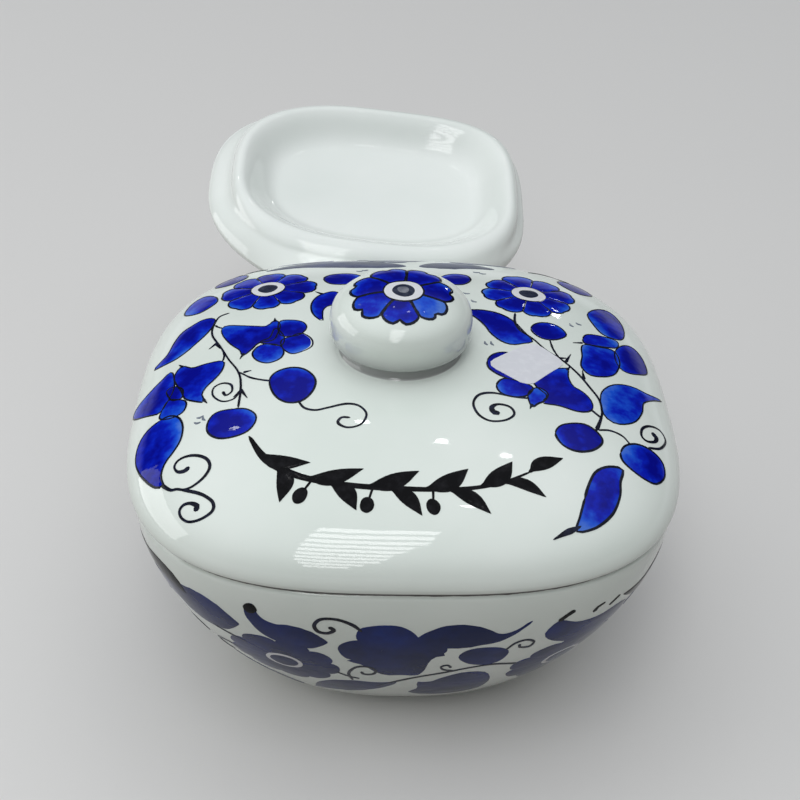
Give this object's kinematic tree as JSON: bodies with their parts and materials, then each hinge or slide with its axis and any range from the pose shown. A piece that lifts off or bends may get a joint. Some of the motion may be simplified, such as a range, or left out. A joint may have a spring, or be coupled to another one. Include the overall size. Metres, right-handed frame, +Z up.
{
  "type": "tureen",
  "caption": "Rounded-square covered serving dish: bowl on a foot ring, domed lift-off lid with a ball knob, and a small open dish joined to the back wall. Glazed ceramic.",
  "frame": {"origin": "on the surface it stands on, under the middle of the whole piece's footprint", "axes": "+Z up, +Y from the covered bowl towards the small open dish at its back, +X to the right seen from the front"},
  "size_m": [0.14, 0.2288, 0.105],
  "materials": {
    "painted_glaze": "white glaze, high gloss, with cobalt blue and black painting",
    "plain_glaze": "white glaze, high gloss"
  },
  "bodies": {
    "base": {"bowl": "painted_glaze", "pit_dish": "plain_glaze"},
    "cover": {"lid": "painted_glaze", "knob": "painted_glaze"}
  },
  "joints": [
    {"name": "lid_lift", "type": "slide", "parent": "base", "child": "cover", "axis": [0, 0, 1], "range_m": [0, 0.1]}
  ]
}
